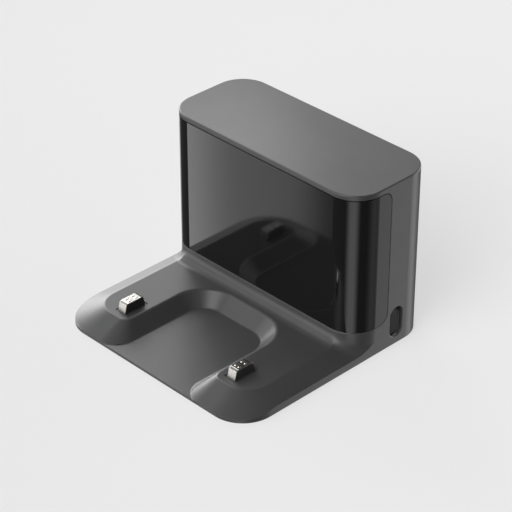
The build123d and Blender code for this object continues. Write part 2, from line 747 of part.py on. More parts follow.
# Light shroud: three black cells behind the window that keep the beacon's beams apart
cell_width = led_spacing - shroud_wall
cell_height = beacon_board_height - 2 * shroud_wall
led_places = [(-led_spacing, beacon_height), (0, beacon_height), (led_spacing, beacon_height)]
with BuildPart() as light_shroud:
    with BuildSketch(facing_front(shroud_back_y)):
        with Locations((0, beacon_height)):
            Rectangle(2 * beacon_half_width, beacon_board_height)
        with Locations((-lug_x, shroud_top - lug_height / 2), (lug_x, shroud_top - lug_height / 2)):
            Rectangle(lug_width, lug_height)
        with Locations((-lug_x, board_lug_centre), (lug_x, board_lug_centre)):
            Rectangle(lug_width, board_lug_height)
    extrude(amount=shroud_depth)
    with BuildSketch(facing_front(shroud_back_y)):
        with Locations(*led_places):
            Rectangle(cell_width, cell_height)
    extrude(amount=shroud_depth - shroud_wall, mode=Mode.SUBTRACT)
    with BuildSketch(facing_front(shroud_back_y)):
        with Locations(*led_places):
            SlotOverall(cell_width - 2 * shroud_wall, 2 * led_radius)
    extrude(amount=shroud_depth, mode=Mode.SUBTRACT)
    with BuildSketch(Plane.XY.offset(shroud_top)):
        with Locations(*lug_places):
            Circle(hole_radius)
    extrude(amount=-lug_height, mode=Mode.SUBTRACT)
    with BuildSketch(facing_front(shroud_back_y)):
        with Locations((-lug_x, board_lug_centre), (lug_x, board_lug_centre)):
            Circle(hole_radius)
    extrude(amount=screw_length - board_thickness, mode=Mode.SUBTRACT)
finish(light_shroud.part, "light_shroud")

# Beacon board: closes the shroud from behind and carries the infrared LEDs
with BuildPart() as beacon_board:
    with BuildSketch(facing_rear(shroud_back_y)):
        with Locations((0, beacon_height)):
            Rectangle(2 * (beacon_half_width + lug_width), beacon_board_height)
        with Locations((-lug_x, board_lug_centre), (lug_x, board_lug_centre)):
            Circle(hole_radius, mode=Mode.SUBTRACT)
    extrude(amount=board_thickness)
finish(beacon_board.part, "beacon_board")
with BuildPart() as infrared_leds:
    with BuildSketch(facing_front(shroud_back_y)):
        with Locations(*led_places):
            Circle(led_radius + led_flange)
    extrude(amount=led_flange_thickness)
    with BuildSketch(facing_front(shroud_back_y - led_flange_thickness)):
        with Locations(*led_places):
            Circle(led_radius)
    extrude(amount=shroud_depth - shroud_wall - led_setback)
    fillet(infrared_leds.faces().group_by(Axis.Y)[0].edges(), radius=led_radius * 0.9)
finish(infrared_leds.part, "infrared_leds")
with BuildPart() as beacon_connector:
    with BuildSketch(facing_rear(shroud_back_y + board_thickness)):
        with Locations((0, beacon_height)):
            Rectangle(connector_width, connector_height)
    extrude(amount=connector_depth)
finish(beacon_connector.part, "beacon_connector")

# Lead from the power board up to the beacon board
link_y = board_front_y - connector_depth / 2
beacon_y = shroud_back_y + board_thickness + connector_depth / 2
link_low = link_z + connector_height / 2
link_high = beacon_height - connector_height / 2
link_middle = (link_low + link_high) / 2
link_bend = (link_high - link_low) / 7
finish(lead([(0, link_y, link_low), (0, link_y, link_middle - link_bend),
             (0, beacon_y, link_middle + link_bend), (0, beacon_y, link_high)]), "beacon_lead")

# Charging contacts: each is a bright strip over a plastic carrier that a spring holds up
for side, name in ((-1, "left"), (1, "right")):
    x = side * contact_x
    half_top = contact_top_length / 2
    bevel_y = half_top + contact_bevel_length
    bevel_z = contact_top_height - contact_bevel_drop
    slope_rate = contact_slope_run / (bevel_z - foot_top)
    low_z = foot_top - 2.0
    low_y = bevel_y + slope_rate * (bevel_z - low_z)
    hump = [(contact_y - low_y, low_z), (contact_y - bevel_y, bevel_z), (contact_y - half_top, contact_top_height),
            (contact_y + half_top, contact_top_height), (contact_y + bevel_y, bevel_z), (contact_y + low_y, low_z)]

    with BuildPart() as strip:
        with BuildSketch(Plane.YZ.offset(x)):
            Polygon(*hump, align=None)
            offset(amount=-contact_sheet, kind=Kind.INTERSECTION, mode=Mode.SUBTRACT)
            with Locations((contact_y, foot_top - contact_tail)):
                Rectangle(4 * low_y, 2 * wing_height, align=(Align.CENTER, Align.MAX), mode=Mode.SUBTRACT)
        extrude(amount=contact_strip_width / 2, both=True)
        with BuildSketch(Plane.XY.offset(contact_top_height)):
            with Locations((x, contact_y)):
                with GridLocations(bump_pitch_across, bump_pitch_along, 2, 2):
                    SlotOverall(bump_length, bump_width, rotation=90)
        extrude(amount=bump_height)
        chamfer(strip.faces().group_by(Axis.Z)[-1].edges(), length=bump_height * 0.7)
    finish(strip.part, name + "_contact_strip")

    with BuildPart() as carrier:
        with BuildSketch(Plane.YZ.offset(x)):
            Polygon(*hump, align=None)
            offset(amount=-contact_sheet, kind=Kind.INTERSECTION, mode=Mode.REPLACE)
        extrude(amount=carrier_width / 2, both=True)
        with BuildSketch(Plane.XY.offset(foot_top)):
            with Locations((x, contact_y)):
                RectangleRounded(carrier_foot_width, carrier_foot_length, carrier_foot_radius)
        extrude(amount=flange_top - foot_top)
        with BuildSketch(Plane.XY.offset(flange_top)):
            with Locations((x, contact_y)):
                RectangleRounded(flange_width, flange_length, carrier_foot_radius)
        extrude(amount=-carrier_flange_thickness)
        with BuildSketch(Plane.XY.offset(flange_top - carrier_flange_thickness)):
            with Locations((x, contact_y)):
                SlotOverall(contact_top_length, 2 * (spring_radius + spring_side_gap), rotation=90)
        extrude(amount=contact_top_height, mode=Mode.SUBTRACT)
        add(strip.part, mode=Mode.SUBTRACT)
    finish(carrier.part, name + "_contact_carrier")

    terminal_top = cover_top + terminal_thickness
    coil_low = terminal_top + spring_wire_radius + spring_end_gap
    coil_high = contact_top_height - contact_sheet - spring_wire_radius - spring_end_gap
    with BuildPart() as spring:
        with BuildLine(Plane(origin=(x, contact_y, coil_low))):
            coil = Helix((coil_high - coil_low) / spring_turns, coil_high - coil_low, spring_radius - spring_wire_radius)
        with BuildSketch(Plane(origin=coil @ 0, z_dir=coil % 0)):
            RegularPolygon(spring_wire_radius, 6)
        sweep(path=coil, is_frenet=True)
    finish(spring.part, name + "_contact_spring")

    tab_end = contact_y + guide_length / 2 + terminal_tab_length
    with BuildPart() as terminal:
        with BuildSketch(Plane.XY.offset(cover_top)):
            with Locations((x, contact_y)):
                Rectangle(terminal_width, flange_length)
            with Locations((x, (contact_y + tab_end) / 2)):
                Rectangle(terminal_tab_width, tab_end - contact_y)
        extrude(amount=terminal_thickness)
        with BuildSketch(Plane.XY.offset(terminal_top)):
            with Locations((x, contact_y)):
                Circle(spring_radius - 2 * spring_wire_radius - terminal_peg_gap)
        extrude(amount=terminal_peg_height)
    finish(terminal.part, name + "_contact_terminal")

    # the lead runs over the cover to the power board and turns up into its connector
    lead_z = terminal_top + lead_radius
    end_x = side * connector_x
    end_y = board_front_y - connector_depth / 2
    route = [(x, tab_end - 2.5, lead_z), (x, tab_end + 11.0, lead_z + 0.2),
             (x - side * 5.0, tower_front_y - 15.75, lead_z + 1.0), (x - side * 9.0, tower_front_y - 4.0, lead_z + 1.2),
             (end_x + side * 4.0, end_y - 12.0, lead_z + 1.5), (end_x + side * 1.3, end_y - 3.8, board_bottom - 3.8),
             (end_x, end_y, board_bottom - 0.5), (end_x, end_y, connector_z - connector_height / 2)]
    finish(lead(route), name + "_contact_lead")

# Screws: bottom cover, power board, light shroud and beacon board
cover_screws = [screw((x, y, head_z), (0, 0, 1)) for x, y in wing_screws + side_screws + bay_screws]
with BuildPart() as cover_fixings:
    add(cover_screws)
finish(cover_fixings.part, "cover_screws")
power_board_screws = [screw((x, board_front_y, z), (0, 1, 0)) for x, z in board_screws]
with BuildPart() as board_fixings:
    add(power_board_screws)
finish(board_fixings.part, "board_screws")
beacon_screws = [screw((x, y, shroud_top - lug_height), (0, 0, 1)) for x, y in lug_places]
beacon_screws += [screw((x, shroud_back_y + board_thickness, board_lug_centre), (0, -1, 0)) for x in (-lug_x, lug_x)]
with BuildPart() as beacon_fixings:
    add(beacon_screws)
finish(beacon_fixings.part, "beacon_screws")
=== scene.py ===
from math import cos, pi, radians, sin

import bmesh
import bpy
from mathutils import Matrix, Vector


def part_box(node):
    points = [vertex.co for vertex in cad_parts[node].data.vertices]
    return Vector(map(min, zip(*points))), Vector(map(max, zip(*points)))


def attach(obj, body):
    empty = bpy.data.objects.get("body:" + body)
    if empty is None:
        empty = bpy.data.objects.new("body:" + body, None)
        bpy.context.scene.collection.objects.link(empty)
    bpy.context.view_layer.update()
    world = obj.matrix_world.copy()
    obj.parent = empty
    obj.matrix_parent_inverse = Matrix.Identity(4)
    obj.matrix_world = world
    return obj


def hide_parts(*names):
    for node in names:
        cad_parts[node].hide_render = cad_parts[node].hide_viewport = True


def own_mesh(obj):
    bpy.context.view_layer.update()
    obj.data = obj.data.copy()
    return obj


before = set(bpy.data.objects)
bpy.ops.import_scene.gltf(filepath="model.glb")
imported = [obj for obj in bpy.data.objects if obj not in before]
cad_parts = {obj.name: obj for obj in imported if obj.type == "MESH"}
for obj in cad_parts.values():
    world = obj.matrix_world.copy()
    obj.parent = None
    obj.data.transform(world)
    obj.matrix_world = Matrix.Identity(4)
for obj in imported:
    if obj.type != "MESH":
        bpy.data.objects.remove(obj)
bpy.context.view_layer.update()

# Camera: a long lens that looks down on the dock from its front right corner.
# The long lens keeps the tower's upright edges nearly parallel, as in a catalogue picture.
camera_azimuth = radians(45.75)
camera_elevation = radians(32.22)
camera_distance = 1.1386
camera_target = Vector((0.0, 0.01032, 0.0447))
camera_back = Vector((sin(camera_azimuth) * cos(camera_elevation),
                      -cos(camera_azimuth) * cos(camera_elevation),
                      sin(camera_elevation)))
camera = bpy.data.objects.new("camera", bpy.data.cameras.new("camera"))
camera.data.sensor_width = 36.0
camera.data.lens = 142.01
camera.data.shift_y = -0.0125
camera.data.clip_end = 50.0
camera.location = camera_target + camera_back * camera_distance
camera.rotation_mode = "QUATERNION"
camera.rotation_quaternion = (-camera_back).to_track_quat("-Z", "Y")
bpy.context.scene.collection.objects.link(camera)
bpy.context.scene.camera = camera
bpy.context.scene.view_settings.view_transform = "Standard"


# Studio: pale paper under and behind the dock, and soft-edged light cards set round it, each at a
# bearing and height. The satin plastic gets a broad sheen from them, and the gloss mirrors their edges.
# A small softbox stands near, behind on the left, so that the tower's top fades from left to right.
def to_linear(hex_colour):
    """Linear red, green, blue and alpha of an sRGB hex colour."""
    channels = [int(hex_colour[i:i + 2], 16) / 255 for i in (1, 3, 5)]
    return tuple(c / 12.92 if c <= 0.04045 else ((c + 0.055) / 1.055) ** 2.4 for c in channels) + (1.0,)


def add_node(tree, kind, inputs=None, **settings):
    """Adds a shader node. An input is a value, or a (node, output) pair that it is linked from."""
    made = tree.nodes.new(kind)
    for name, value in settings.items():
        setattr(made, name, value)
    for name, value in (inputs or {}).items():
        if isinstance(value, tuple) and isinstance(value[0], bpy.types.Node):
            tree.links.new(value[0].outputs[value[1]], made.inputs[name])
        else:
            made.inputs[name].default_value = value
    return made


def start_material(name):
    """A new material and its node tree, still empty."""
    material = bpy.data.materials.new(name)
    material.use_nodes = True
    material.node_tree.nodes.clear()
    return material, material.node_tree


paper = to_linear("#eaeaea")
white = to_linear("#ffffff")
room_level = 0.025
soft_height = 12
# bearing and height of a card's middle, half its width and height and its soft edge in degrees, and its level
cards = [(-139.5, -31, 2, 22, 1, 1.95),
         (-136.4, -31, 2.5, 22, 0.6, 0.9),
         (-54, -31, 17, 22, 12, 1.2),
         (25, -31, 15, 22, 15, 0.3),
         (64, -31, 12, 22, 16, 2.3),
         (-165, 0, 24, 12, 12, 3.9),
         (-110, 0, 15, 15, 15, 2.9),
         (80, 0, 25, 15, 12, 4.5),
         (160, 22, 15, 22, 4, 6.7),
         (133, 31, 12, 16, 8, 1.05),
         (-85, 40, 25, 25, 15, 4.3),
         (-155, 35, 12, 15, 12, 2.3),
         (155, -18, 12, 10, 4, 1.4),
         (45, 28, 20, 8, 12, 0.7)]

world = bpy.data.worlds.new("studio")
world.use_nodes = True
bpy.context.scene.world = world
tree = world.node_tree
tree.nodes.clear()
direction = add_node(tree, "ShaderNodeTexCoord")
parts = add_node(tree, "ShaderNodeSeparateXYZ", {"Vector": (direction, "Generated")})
turned = add_node(tree, "ShaderNodeMath", {0: (parts, "Y"), 1: (parts, "X")}, operation="ARCTAN2")
bearing = add_node(tree, "ShaderNodeMath", {0: (turned, 0)}, operation="DEGREES")
raised = add_node(tree, "ShaderNodeMath", {0: (parts, "Z")}, operation="ARCSINE")
height = add_node(tree, "ShaderNodeMath", {0: (raised, 0)}, operation="DEGREES")
light = (add_node(tree, "ShaderNodeValue"), 0)
light[0].outputs[0].default_value = room_level
for card_bearing, card_height, half_width, half_height, soft, level in cards:
    aside = add_node(tree, "ShaderNodeMath", {0: (bearing, 0), 1: card_bearing}, operation="SUBTRACT")
    shorter = add_node(tree, "ShaderNodeMath", {0: (aside, 0), 1: 180, 2: -180}, operation="WRAP")
    across = add_node(tree, "ShaderNodeMath", {0: (shorter, 0)}, operation="ABSOLUTE")
    wide = add_node(tree, "ShaderNodeMapRange", {"Value": (across, 0), "From Min": half_width - soft, "To Min": 1.0,
                                                 "From Max": half_width + soft, "To Max": 0.0},
                    interpolation_type="SMOOTHSTEP")
    above = add_node(tree, "ShaderNodeMath", {0: (height, 0), 1: card_height}, operation="SUBTRACT")
    away = add_node(tree, "ShaderNodeMath", {0: (above, 0)}, operation="ABSOLUTE")
    tall = add_node(tree, "ShaderNodeMapRange", {"Value": (away, 0), "From Min": half_height - soft_height,
                                                 "To Min": level, "From Max": half_height + soft_height,
                                                 "To Max": 0.0}, interpolation_type="SMOOTHSTEP")
    light = (add_node(tree, "ShaderNodeMath", {0: (wide, 0), 1: (tall, 0), 2: light}, operation="MULTIPLY_ADD"), 0)
room = add_node(tree, "ShaderNodeEmission", {"Color": white, "Strength": light})
backdrop = add_node(tree, "ShaderNodeEmission", {"Color": paper, "Strength": 1.0})
# the gloss shows the backdrop too, but only a little of it: the photo's gloss is much darker than its background
backdrop_in_gloss = 0.08
ray = add_node(tree, "ShaderNodeLightPath")
looked_at = add_node(tree, "ShaderNodeMath", {0: (ray, "Is Camera Ray"), 1: (ray, "Is Transmission Ray")},
                     operation="MAXIMUM")
share = add_node(tree, "ShaderNodeMath", {0: (ray, "Is Glossy Ray"), 1: backdrop_in_gloss, 2: (looked_at, 0)},
                 operation="MULTIPLY_ADD")
seen = add_node(tree, "ShaderNodeMixShader", {0: (share, 0), 1: (room, 0), 2: (backdrop, 0)})
add_node(tree, "ShaderNodeOutputWorld", {"Surface": (seen, 0)})

softbox_aim = Vector((-0.06, 0.01, 0.1))
softbox = bpy.data.objects.new("near_softbox", bpy.data.lights.new("near_softbox", "AREA"))
softbox.data.size = 0.1
softbox.data.energy = 0.12
softbox.location = (-0.278, 0.247, 0.345)
softbox.rotation_mode = "QUATERNION"
softbox.rotation_quaternion = (softbox_aim - softbox.location).to_track_quat("-Z", "Y")
softbox.visible_camera = False
bpy.context.scene.collection.objects.link(softbox)

# the paper lights nothing, so that the cards alone set the levels; its matt share keeps the dock's soft shadow
sweep_half = 6.0
paper_glow = 1.06
glow_share = 0.7
sweep_mesh = bpy.data.meshes.new("paper_sweep")
sweep_mesh.from_pydata([(-sweep_half, -sweep_half, 0), (sweep_half, -sweep_half, 0),
                        (sweep_half, sweep_half, 0), (-sweep_half, sweep_half, 0)], [], [(0, 1, 2, 3)])
sweep = bpy.data.objects.new("paper_sweep", sweep_mesh)
bpy.context.scene.collection.objects.link(sweep)
sweep.visible_diffuse = False
sweep.visible_glossy = False
sweep.visible_transmission = False
sweep.visible_shadow = False
paper_material, tree = start_material("matt background paper")
matt = add_node(tree, "ShaderNodeBsdfDiffuse", {"Color": paper, "Roughness": 1.0})
glow = add_node(tree, "ShaderNodeEmission", {"Color": paper, "Strength": paper_glow})
ray = add_node(tree, "ShaderNodeLightPath")
share = add_node(tree, "ShaderNodeMath", {0: (ray, "Is Camera Ray"), 1: glow_share}, operation="MULTIPLY")
mixed = add_node(tree, "ShaderNodeMixShader", {0: (share, 0), 1: (matt, 0), 2: (glow, 0)})
add_node(tree, "ShaderNodeOutputMaterial", {"Surface": (mixed, 0)})
sweep_mesh.materials.append(paper_material)


# Bottom cover: black ABS moulding screwed under the dock, with the coarse spark texture of a hidden side.
# Moulded plastics share one finish here: pigment that varies a little and a fine even grain, which gives
# the eye a soft sheen with no sharp edge. The grain is drawn 0.5 to 0.9 mm wide, coarser than it is, to show.
def moulded_plastic(name, colour, roughness, grain_mm, depth_mm, ior=1.53):
    """Moulded plastic with spark-eroded grain of one size and depth."""
    cloud_mm = grain_mm * 40
    tone_spread = 0.07
    gloss_spread = 0.1
    material, tree = start_material(name)
    place = add_node(tree, "ShaderNodeTexCoord")
    grain = add_node(tree, "ShaderNodeTexNoise", {"Vector": (place, "Object"), "Scale": 1000 / grain_mm,
                                                  "Detail": 2.0, "Roughness": 0.55})
    cloud = add_node(tree, "ShaderNodeTexNoise", {"Vector": (place, "Object"), "Scale": 1000 / cloud_mm,
                                                  "Detail": 3.0})
    tone = add_node(tree, "ShaderNodeValToRGB", {"Fac": (cloud, "Fac")})
    base = to_linear(colour)
    tone.color_ramp.elements[0].position = 0.3
    tone.color_ramp.elements[0].color = [c * (1 - tone_spread) for c in base[:3]] + [1.0]
    tone.color_ramp.elements[1].position = 0.7
    tone.color_ramp.elements[1].color = [c * (1 + tone_spread) for c in base[:3]] + [1.0]
    gloss = add_node(tree, "ShaderNodeMapRange", {"Value": (grain, "Fac"), "From Min": 0.3, "From Max": 0.7,
                                                  "To Min": roughness * (1 - gloss_spread),
                                                  "To Max": roughness * (1 + gloss_spread)})
    relief = add_node(tree, "ShaderNodeBump", {"Height": (grain, "Fac"), "Strength": 1.0,
                                               "Distance": depth_mm / 1000})
    surface = add_node(tree, "ShaderNodeBsdfPrincipled", {"Base Color": (tone, "Color"), "Roughness": (gloss, 0),
                                                          "Normal": (relief, 0), "IOR": ior})
    add_node(tree, "ShaderNodeOutputMaterial", {"Surface": (surface, 0)})
    return material


def dress(material, *nodes):
    """Gives one material to carried-over nodes."""
    for node in nodes:
        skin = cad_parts[node].data.materials
        skin.clear()
        skin.append(material)


cover_abs = moulded_plastic("spark-textured black ABS", "#2b2b2c", 0.55, 0.9, 0.02)
dress(cover_abs, "bottom_cover")

# Rubber feet: four pads of black thermoplastic rubber, die cut and pressed into the cover's recesses.
# Matt and slightly dusty, so they look softer than the cover round them.
foot_rubber = moulded_plastic("matt thermoplastic rubber", "#1f1f1f", 0.82, 0.5, 0.03, ior=1.5)
dress(foot_rubber, "rubber_feet")


# Contact terminals: brass plates stamped with a peg, which lie on the cover and carry the springs.
# Metals share one finish: fine lines from rolling or drawing along one axis, which draw the light out.
def bare_metal(name, colour, roughness, line_mm, along):
    """Metal with fine lines from rolling, drawing or brushing that run along one axis."""
    line_length_mm = line_mm * 30
    line_depth_mm = 0.003
    gloss_spread = 0.06
    material, tree = start_material(name)
    place = add_node(tree, "ShaderNodeTexCoord")
    stretch = [1000 / line_mm] * 3
    stretch["XYZ".index(along)] = 1000 / line_length_mm
    drawn = add_node(tree, "ShaderNodeMapping", {"Vector": (place, "Object"), "Scale": stretch})
    lines = add_node(tree, "ShaderNodeTexNoise", {"Vector": (drawn, 0), "Scale": 1.0, "Detail": 3.0})
    gloss = add_node(tree, "ShaderNodeMapRange", {"Value": (lines, "Fac"), "From Min": 0.3, "From Max": 0.7,
                                                  "To Min": roughness - gloss_spread,
                                                  "To Max": roughness + gloss_spread})
    relief = add_node(tree, "ShaderNodeBump", {"Height": (lines, "Fac"), "Strength": 0.3,
                                               "Distance": line_depth_mm / 1000})
    surface = add_node(tree, "ShaderNodeBsdfPrincipled", {"Base Color": to_linear(colour), "Metallic": 1.0,
                                                          "Roughness": (gloss, 0), "Normal": (relief, 0)})
    add_node(tree, "ShaderNodeOutputMaterial", {"Surface": (surface, 0)})
    return material


stamped_brass = bare_metal("stamped brass", "#c8a75e", 0.3, 0.2, "Y")
dress(stamped_brass, "left_contact_terminal", "right_contact_terminal")


# Contact springs: compression springs coiled from drawn steel wire, with a closed turn at each end.
# Each stands on its terminal's peg, and in use is squeezed when the robot presses the contact down; here it is built
# at the CAD spring's length and fixed to the dock.
# The wire is bright, with a highlight along the outside of every turn.
def skin_rings(name, rings, material):
    """An object with a closed, smooth skin over rings of points that follow each other."""
    mesh = bmesh.new()
    rows = [[mesh.verts.new(point) for point in ring] for ring in rings]
    for before, after in zip(rows, rows[1:]):
        for k in range(len(after)):
            mesh.faces.new((before[k - 1], before[k], after[k], after[k - 1])).smooth = True
    mesh.faces.new(rows[0])
    mesh.faces.new(rows[-1])
    bmesh.ops.recalc_face_normals(mesh, faces=mesh.faces)
    skin = bpy.data.meshes.new(name)
    mesh.to_mesh(skin)
    mesh.free()
    skin.materials.append(material)
    piece = bpy.data.objects.new(name, skin)
    bpy.context.scene.collection.objects.link(piece)
    return piece


spring_steel = bare_metal("drawn spring steel", "#b4b3b0", 0.28, 0.1, "Z")
wire_radius = 0.00025
coil_radius = 0.00152
closed_turns = 1
open_turns = 5
steps_per_turn = 24
wire_sides = 10
for side in ("left", "right"):
    low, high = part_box(side + "_contact_spring")
    spring_foot = Vector(((low.x + high.x) / 2, (low.y + high.y) / 2, low.z + wire_radius))
    free_length = high.z - low.z
    coil_rise = free_length - 2 * wire_radius
    open_pitch = (coil_rise - 2 * closed_turns * 2 * wire_radius) / open_turns
    rings = []
    for step in range((2 * closed_turns + open_turns) * steps_per_turn + 1):
        turned = step / steps_per_turn
        closed = min(turned, closed_turns) + max(0, turned - closed_turns - open_turns)
        opened = min(max(turned - closed_turns, 0), open_turns)
        rise = closed * 2 * wire_radius + opened * open_pitch
        outwards = Vector((cos(2 * pi * turned), sin(2 * pi * turned), 0))
        middle = spring_foot + outwards * coil_radius + Vector((0, 0, rise))
        rings.append([middle + outwards * (wire_radius * cos(2 * pi * k / wire_sides))
                      + Vector((0, 0, wire_radius * sin(2 * pi * k / wire_sides))) for k in range(wire_sides)])
    spring = skin_rings(side + "_round_wire_spring", rings, spring_steel)
    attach(spring, "dock")
    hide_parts(side + "_contact_spring")
    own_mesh(spring)

# Contact carriers: moulded black acetal blocks that slide in the wings' guides and hold up the strips.
# Acetal is slippery and dense, so it looks smoother and closer than the housing round it.
carrier_acetal = moulded_plastic("black acetal", "#39393b", 0.4, 0.5, 0.004, ior=1.48)
dress(carrier_acetal, "left_contact_carrier", "right_contact_carrier")

# Contact strips: spring bronze bent over the carriers, with four pressed ribs that the robot's pads rest on.
# The nickel plating is satin on the slopes, and the pads have rubbed the top brighter, so that the top
# mirrors the dark gaps of the studio: in the bend before it, and at the ribs' sides.
nickel = bare_metal("satin nickel plating", "#dcd9d3", 0.3, 0.4, "Y")
rubbed_above = 0.0150
rubbed_blend = 0.0002
rubbed_roughness = 0.55
tree = nickel.node_tree
surface = next(node for node in tree.nodes if node.type == "BSDF_PRINCIPLED")
satin = surface.inputs["Roughness"].links[0].from_node
place = add_node(tree, "ShaderNodeTexCoord")
parts = add_node(tree, "ShaderNodeSeparateXYZ", {"Vector": (place, "Object")})
rubbed = add_node(tree, "ShaderNodeMapRange", {"Value": (parts, "Z"), "From Min": rubbed_above - rubbed_blend,
                                               "From Max": rubbed_above + rubbed_blend,
                                               "To Min": 1.0, "To Max": rubbed_roughness})
gloss = add_node(tree, "ShaderNodeMath", {0: (satin, 0), 1: (rubbed, 0)}, operation="MULTIPLY")
tree.links.new(gloss.outputs[0], surface.inputs["Roughness"])

strip_sheet = 0.00038
strip_edge = 0.00008
top_half = 0.0048
bend_run = 0.0016
bend_drop = 0.0006
bend_smoothing = 5
rib_length = 0.0022
rib_width = 0.0012
rib_height = 0.0003
ribs_apart = 0.0025
ribs_along = 0.0046
strip_step = 0.00015
for side in ("left", "right"):
    low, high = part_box(side + "_contact_strip")
    middle = (low + high) / 2
    top = high.z - rib_height
    # the strip's line from the side, from foot to foot over the top, in small steps and then smoothed
    corners = [Vector(corner) for corner in ((low.y, low.z), (middle.y - top_half - bend_run, top - bend_drop),
                                             (middle.y - top_half, top), (middle.y + top_half, top),
                                             (middle.y + top_half + bend_run, top - bend_drop), (high.y, low.z))]
    line = []
    for start, end in zip(corners, corners[1:]):
        steps = round((end - start).length / strip_step)
        line += [start.lerp(end, k / steps) for k in range(steps)]
    line.append(corners[-1])
    for smoothing in range(bend_smoothing):
        inner = [(a + 2 * b + c) / 4 for a, b, c in zip(line, line[1:], line[2:])]
        line = [line[0]] + inner + [line[-1]]
    # the strip's section: its outer face in steps across, then its rounded edges and its inner face
    flat_width = high.x - low.x - 2 * strip_edge
    across = round(flat_width / strip_step)
    flat = [low.x + strip_edge + flat_width * k / across for k in range(across + 1)]
    nick = strip_edge * 0.3
    rounded = [(high.x - nick, -nick), (high.x, -strip_edge), (high.x, -strip_sheet),
               (low.x, -strip_sheet), (low.x, -strip_edge), (low.x + nick, -nick)]
    rings = []
    for k, point in enumerate(line):
        along = (line[min(k + 1, len(line) - 1)] - line[max(k - 1, 0)]).normalized()
        outwards = Vector((0, -along.y, along.x))
        past_rib = max(0, abs(abs(point.x - middle.y) - ribs_along / 2) - (rib_length - rib_width) / 2)
        section = []
        for x in flat:
            beside_rib = abs(abs(x - middle.x) - ribs_apart / 2)
            edge = min(1, (past_rib ** 2 + beside_rib ** 2) ** 0.5 / (rib_width / 2))
            section.append((x, rib_height * (1 - edge ** 4) if point.y > top - bend_drop / 2 else 0))
        rings.append([Vector((x, point.x, point.y)) + outwards * lift for x, lift in section + rounded])
    strip = skin_rings(side + "_ribbed_strip", rings, nickel)
    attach(strip, side + "_contact")
    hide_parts(side + "_contact_strip")

# Leads: stranded copper in drawn PVC, pushed into the board's connectors and soldered to the terminals.
# Drawn insulation is evenly coloured and half glossy, with a faint ripple from the strands.
lead_pvc = moulded_plastic("drawn red PVC", "#9c2f28", 0.38, 0.7, 0.01, ior=1.54)
dress(lead_pvc, "left_contact_lead", "right_contact_lead", "beacon_lead")


# Circuit boards: glass and epoxy laminate under green solder mask, with copper tracks etched below it.
# They are screwed to the liner and the shroud. The mask is glossy, paler and slightly raised over the
# tracks, and open over the tinned pads.
def printed_board(name, mask, track, tin, run_mm, pad_mm):
    """Solder-masked laminate, its tracks in runs of one length and its pads at one spacing."""
    material, tree = start_material(name)
    place = add_node(tree, "ShaderNodeTexCoord")
    parts = add_node(tree, "ShaderNodeSeparateXYZ", {"Vector": (place, "Object")})
    face = add_node(tree, "ShaderNodeCombineXYZ", {"X": (parts, "X"), "Y": (parts, "Z")})
    # the texture's own brick is half a unit long, and its joints are the tracks
    tracks = add_node(tree, "ShaderNodeTexBrick", {"Vector": (face, 0), "Scale": 500 / run_mm, "Mortar Size": 0.03,
                                                   "Mortar Smooth": 0.3, "Color1": to_linear(mask),
                                                   "Color2": to_linear(mask), "Mortar": to_linear(track)},
                      offset=0.37, squash=0.6, squash_frequency=3)
    holes = add_node(tree, "ShaderNodeTexVoronoi", {"Vector": (face, 0), "Scale": 1000 / pad_mm, "Randomness": 0.35},
                     voronoi_dimensions="2D")
    pad = add_node(tree, "ShaderNodeMapRange", {"Value": (holes, "Distance"), "From Min": 0.16, "From Max": 0.13})
    colour = add_node(tree, "ShaderNodeMix", {"Factor": (pad, 0), 6: (tracks, "Color"), 7: to_linear(tin)},
                      data_type="RGBA")
    gloss = add_node(tree, "ShaderNodeMapRange", {"Value": (tracks, "Fac"), "To Min": 0.22, "To Max": 0.32})
    relief = add_node(tree, "ShaderNodeBump", {"Height": (tracks, "Fac"), "Strength": 0.6, "Distance": 0.00004})
    surface = add_node(tree, "ShaderNodeBsdfPrincipled", {"Base Color": (colour, 2), "Metallic": (pad, 0),
                                                          "Roughness": (gloss, 0), "Normal": (relief, 0),
                                                          "IOR": 1.55})
    add_node(tree, "ShaderNodeOutputMaterial", {"Surface": (surface, 0)})
    return material


board_laminate = printed_board("green solder-masked laminate", "#164a2a", "#2a7445", "#c9c9c4", 9.0, 6.5)
dress(board_laminate, "power_board", "beacon_board")

# Transformer core: a frame of ferrite powder, pressed and sintered, and glued round the winding.
# It is dark grey and dull, with a gritty grain.
ferrite = moulded_plastic("sintered ferrite", "#3a3a3d", 0.6, 0.5, 0.02, ior=1.9)
dress(ferrite, "transformer_core")


# Transformer winding: copper wire under polyester tape, a glossy yellow film wrapped round and round in
# turns that overlap, with a darker line where each turn covers the last.
def wrapped_film(name, film, edge, tape_mm):
    """Glossy film wound about the upright axis, its edges one tape width apart."""
    band_units = 0.314       # the wave texture repeats every 0.314 units
    material, tree = start_material(name)
    place = add_node(tree, "ShaderNodeTexCoord")
    turns = add_node(tree, "ShaderNodeTexWave", {"Vector": (place, "Object"), "Scale": 1000 * band_units / tape_mm,
                                                 "Distortion": 0.4, "Detail": 1.0, "Detail Scale": 2.0},
                     bands_direction="Z", wave_profile="SAW")
    tone = add_node(tree, "ShaderNodeValToRGB", {"Fac": (turns, "Fac")})
    tone.color_ramp.elements[0].position = 0.0
    tone.color_ramp.elements[0].color = to_linear(edge)
    tone.color_ramp.elements[1].position = 0.12
    tone.color_ramp.elements[1].color = to_linear(film)
    relief = add_node(tree, "ShaderNodeBump", {"Height": (turns, "Fac"), "Strength": 0.5, "Distance": 0.00006})
    surface = add_node(tree, "ShaderNodeBsdfPrincipled", {"Base Color": (tone, "Color"), "Roughness": 0.2,
                                                          "Normal": (relief, 0), "IOR": 1.64})
    add_node(tree, "ShaderNodeOutputMaterial", {"Surface": (surface, 0)})
    return material


polyester_tape = wrapped_film("yellow polyester tape", "#d2a21c", "#8a5f10", 5.0)
dress(polyester_tape, "transformer_winding")


